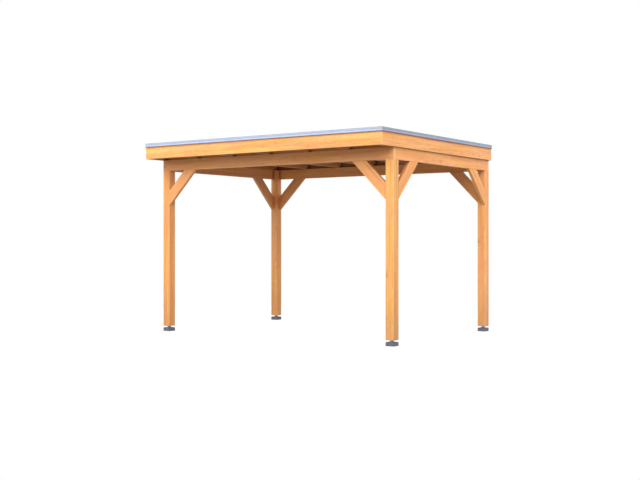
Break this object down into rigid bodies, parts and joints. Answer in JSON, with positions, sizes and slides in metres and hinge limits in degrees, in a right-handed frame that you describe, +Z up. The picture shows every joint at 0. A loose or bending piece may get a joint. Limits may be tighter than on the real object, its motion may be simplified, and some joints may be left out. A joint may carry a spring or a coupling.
{
  "type": "flat-roofed timber veranda",
  "caption": "Free-standing open timber veranda: posts on grey feet, knee braces, rafters and a flat boarded roof with a front overhang, timber fascia and metal edge trim.",
  "frame": {"origin": "on the ground under the middle of the roof's outline", "axes": "+X to the right along the long front, +Y towards the back, +Z up"},
  "size_m": [3.976, 3.066, 2.702],
  "materials": {
    "timber_frame": "planed fir, warm yellow-brown, oiled",
    "timber_fascia": "planed fir boards, warm yellow-brown",
    "roof_boards": "planed tongue and groove boards",
    "roof_skin": "matt black sheet",
    "edge_trim": "satin blue-grey",
    "foot_block": "dark grey concrete",
    "adjuster_steel": "galvanised"
  },
  "bodies": {
    "root": {"adjuster_back_left": "adjuster_steel", "adjuster_back_right": "adjuster_steel", "adjuster_front_left": "adjuster_steel", "adjuster_front_right": "adjuster_steel", "beam_back": "timber_frame", "beam_front": "timber_frame", "beam_left": "timber_frame", "beam_right": "timber_frame", "brace_back_left": "timber_frame", "brace_back_right": "timber_frame", "brace_front_left": "timber_frame", "brace_front_right": "timber_frame", "brace_left_back": "timber_frame", "brace_left_front": "timber_frame", "brace_right_back": "timber_frame", "brace_right_front": "timber_frame", "fascia_back": "timber_fascia", "fascia_front": "timber_fascia", "fascia_left": "timber_fascia", "fascia_right": "timber_fascia", "foot_back_left": "foot_block", "foot_back_right": "foot_block", "foot_front_left": "foot_block", "foot_front_right": "foot_block", "post_back_left": "timber_frame", "post_back_right": "timber_frame", "post_front_left": "timber_frame", "post_front_right": "timber_frame", "rafter_1": "timber_frame", "rafter_2": "timber_frame", "rafter_3": "timber_frame", "rafter_4": "timber_frame", "rafter_5": "timber_frame", "rafter_6": "timber_frame", "rafter_7": "timber_frame", "roof_deck": "roof_boards", "roof_membrane": "roof_skin", "trim_back": "edge_trim", "trim_front": "edge_trim", "trim_left": "edge_trim", "trim_right": "edge_trim"}
  },
  "joints": []
}
